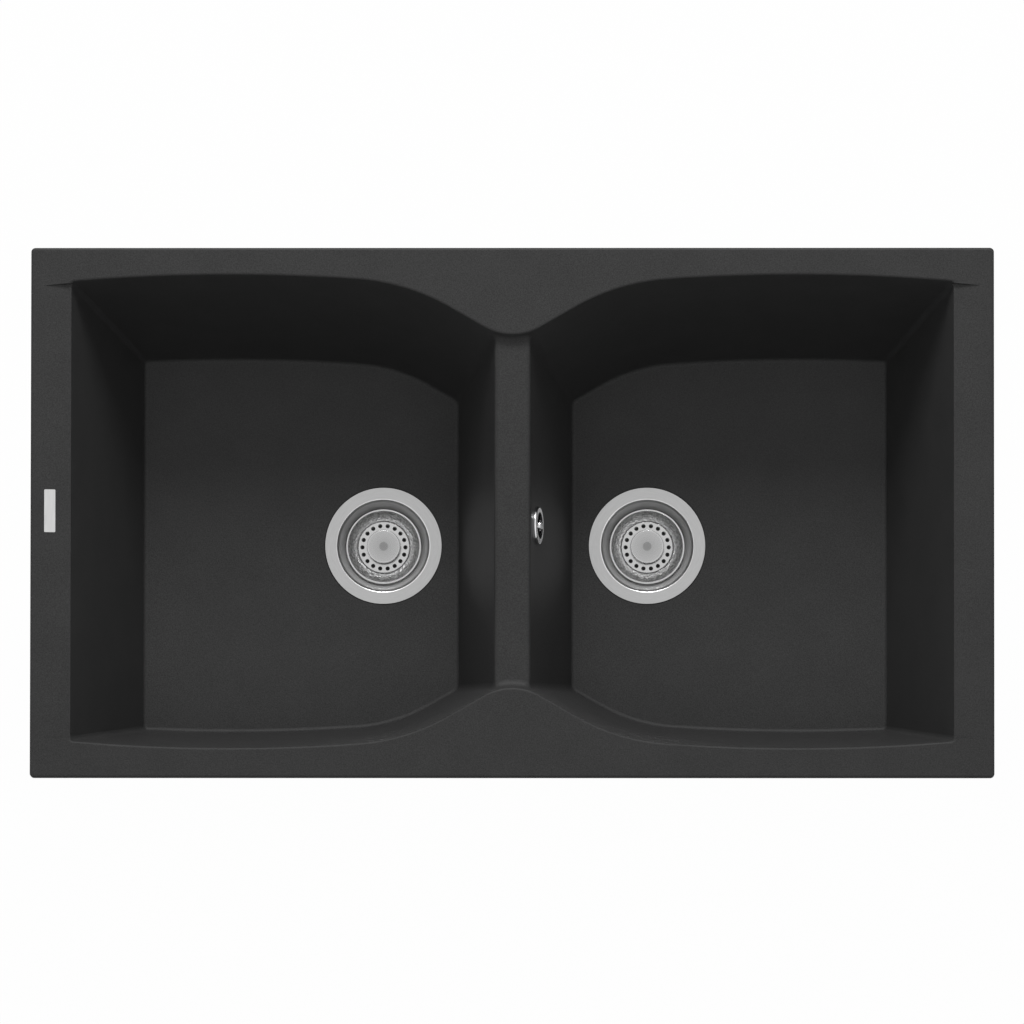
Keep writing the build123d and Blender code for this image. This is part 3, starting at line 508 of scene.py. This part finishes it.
THREAD_PITCH = 1.25 * MM
THREAD_STEPS = 6
THREAD_DEPTH = 0.4 * MM
SHANK_RADIUS = 2.5 * MM
HEAD_RADIUS = 5 * MM
HEAD_HEIGHT = 3.5 * MM
HEAD_EDGE = 0.7 * MM
SOCKET_REACH = 2.2 * MM
SOCKET_DEPTH = 2 * MM


def hexagon(angle):
    """The reach of a hexagon socket's wall at an angle."""
    return SOCKET_REACH * cos(pi / 6) / cos(angle % (pi / 3) - pi / 6)


def make_clamp_screw(number):
    """A threaded clamp screw with a hexagon socket in its head."""
    node = f"clamp_screw_{number}"
    centre = middle(node)
    foot = lowest(node)

    def at(height, radius):
        return ring(Vector((centre.x, centre.y, height)), X_AXIS, Y_AXIS, radius)

    socket = foot + SOCKET_DEPTH
    head_top = foot + HEAD_HEIGHT
    rings = [
        at(socket, hexagon),
        at(foot, hexagon),
        at(foot, HEAD_RADIUS - HEAD_EDGE),
        at(foot + HEAD_EDGE, HEAD_RADIUS),
        at(head_top, HEAD_RADIUS),
        at(head_top, SHANK_RADIUS),
    ]
    length = highest(node) - head_top
    steps = round(length / THREAD_PITCH * THREAD_STEPS)
    for step in range(1, steps + 1):
        height = length * step / steps
        fade = min(1.0, (length - height) / THREAD_PITCH)

        def thread(angle):
            phase = (height / THREAD_PITCH - angle / (2 * pi)) % 1.0
            return SHANK_RADIUS - THREAD_DEPTH * (1.0 - fade * (1.0 - abs(2 * phase - 1.0)))

        rings.append(at(head_top + height, thread))
    fit(skin(f"threaded_{node}", rings), ZINC, node, node)


OUTLET_THREAD_PITCH = 2.309 * MM
OUTLET_THREAD_LENGTH = 16 * MM
OUTLET_THREAD_RADIUS = 23.9 * MM
OUTLET_THREAD_RISE = 0.4 * MM
OUTLET_THREAD_SINK = 0.2 * MM
# Half the ridge's width at its crest and at its foot, in pitches.
OUTLET_THREAD_CREST = 0.1
OUTLET_THREAD_FOOT = 0.42


def make_outlet_thread():
    """The ridge of the outlet's pipe thread, wound round its plain end."""
    turns = OUTLET_THREAD_LENGTH / OUTLET_THREAD_PITCH - 1
    last = round(turns * 2 * COLUMNS)
    start = lowest("outlet_tee") + OUTLET_THREAD_PITCH
    axis = Vector((DRAIN_X, DRAIN_Y, 0.0))
    rings = []
    for step in range(last + 1):
        angle = pi * step / COLUMNS
        outward = cos(angle) * X_AXIS + sin(angle) * Y_AXIS
        rise = OUTLET_THREAD_RISE * min(1.0, step / COLUMNS, (last - step) / COLUMNS)
        height = start + OUTLET_THREAD_PITCH * angle / (2 * pi)
        section = (
            (-OUTLET_THREAD_FOOT, -OUTLET_THREAD_SINK),
            (-OUTLET_THREAD_CREST, rise),
            (OUTLET_THREAD_CREST, rise),
            (OUTLET_THREAD_FOOT, -OUTLET_THREAD_SINK),
        )
        points = []
        for along, out in section:
            reach = OUTLET_THREAD_RADIUS + out
            points.append(axis + reach * outward + (height + along * OUTLET_THREAD_PITCH) * Z_AXIS)
        rings.append(points)
    fit(skin("outlet_thread", rings), PIPE_PLASTIC, "sink")


make_ribbed_hose()
for number in range(1, CLAMP_COUNT + 1):
    make_clamp_screw(number)
make_outlet_thread()


# --- Camera, stage and light ----------------------------------------------------------------------
CAMERA_DISTANCE = 15.0
CAMERA_ELEVATION = radians(86.0)
CAMERA_TO_RIGHT = radians(0.85)
CAMERA_LENS = 564.8
CAMERA_AIM = Vector((-0.0001, 0.0003, RIM_TOP))
SENSOR_WIDTH = 36.0
CLIP_END = 50.0

FLOOR_REACH = 12.0
FLOOR_GAP = 1 * MM
FLOOR_WHITENESS = 0.985

KEY_PLACE = Vector((-0.05, 2.35, 1.85))
KEY_AIM = Vector((0.0, 0.0, 0.0))
KEY_SIZE = (1.0, 1.0)
KEY_POWER = 49.0

# The surroundings, the glow overhead that fades between two angles from straight up, and the
# white that the camera and reflections see instead.
AMBIENT = 0.09
GLOW = 1.3
GLOW_CORE = radians(9.0)
GLOW_EDGE = radians(36.0)
WHITE = 1.0


def make_camera():
    """Almost overhead, with the rim's long sides level in the picture."""
    data = bpy.data.cameras.new("camera")
    data.lens = CAMERA_LENS
    data.sensor_width = SENSOR_WIDTH
    data.clip_end = CLIP_END
    camera = bpy.data.objects.new("camera", data)
    away = Vector((sin(CAMERA_TO_RIGHT), -cos(CAMERA_ELEVATION), sin(CAMERA_ELEVATION)))
    away.normalize()
    right = (X_AXIS - away.x * away).normalized()
    turn = Matrix((right, away.cross(right), away)).transposed()
    camera.matrix_world = Matrix.Translation(CAMERA_AIM + CAMERA_DISTANCE * away) @ turn.to_4x4()
    bpy.context.collection.objects.link(camera)
    bpy.context.scene.camera = camera


def make_floor():
    """A pale floor, white to the camera, with a soft shadow. It is clear from below."""
    height = cad_box[0][2] - FLOOR_GAP
    signs = ((-1, -1), (1, -1), (1, 1), (-1, 1))
    corners = [(x * FLOOR_REACH, y * FLOOR_REACH, height) for x, y in signs]
    mesh = bpy.data.meshes.new("floor")
    mesh.from_pydata(corners, [], [(0, 1, 2, 3)])
    look = Look("pale_floor", Roughness=0.9)
    look.colour(look.shades(look.noise(3.0), 0.8, 0.84))
    camera_ray = look.node("ShaderNodeLightPath").outputs["Is Camera Ray"]
    seen = look.math("MULTIPLY", camera_ray, FLOOR_WHITENESS)
    white = look.node("ShaderNodeEmission", Strength=WHITE).outputs["Emission"]
    underside = look.node("ShaderNodeNewGeometry").outputs["Backfacing"]
    clear = look.node("ShaderNodeBsdfTransparent").outputs["BSDF"]
    surface = look.mix(underside, look.mix(seen, look.shader.outputs["BSDF"], white), clear)
    look.feed(look.tree.nodes["Material Output"].inputs["Surface"], surface)
    mesh.materials.append(look.material)
    floor = bpy.data.objects.new("floor", mesh)
    bpy.context.collection.objects.link(floor)


def make_key_light():
    """A soft light from above and behind, aimed at the middle of the rim."""
    data = bpy.data.lights.new("key", "AREA")
    data.shape = "RECTANGLE"
    data.size, data.size_y = KEY_SIZE
    data.energy = KEY_POWER
    lamp = bpy.data.objects.new("key", data)
    lamp.location = KEY_PLACE
    lamp.rotation_euler = (KEY_AIM - KEY_PLACE).to_track_quat("-Z", "Y").to_euler()
    bpy.context.collection.objects.link(lamp)


def make_world():
    """Dim surroundings with a glow overhead, plain white to the camera and in reflections."""
    world = bpy.data.worlds.new("studio")
    world.use_nodes = True
    nodes = Nodes(world.node_tree)
    way = nodes.node("ShaderNodeTexCoord").outputs["Generated"]
    upward = nodes.node("ShaderNodeSeparateXYZ", Vector=way).outputs["Z"]
    edge, core = cos(GLOW_EDGE), cos(GLOW_CORE)
    light = nodes.between(upward, AMBIENT, AMBIENT + GLOW, edge, core, "SMOOTHSTEP")
    rays = nodes.node("ShaderNodeLightPath").outputs
    plain = rays["Is Camera Ray"]
    for ray in ("Is Glossy Ray", "Is Transmission Ray"):
        plain = nodes.math("MAXIMUM", plain, rays[ray])
    background = nodes.tree.nodes["Background"]
    nodes.feed(background.inputs["Color"], (1.0, 1.0, 1.0, 1.0))
    nodes.feed(background.inputs["Strength"], nodes.between(plain, light, WHITE))
    bpy.context.scene.world = world


make_camera()
make_floor()
make_world()
make_key_light()
bpy.context.scene.view_settings.view_transform = "Standard"
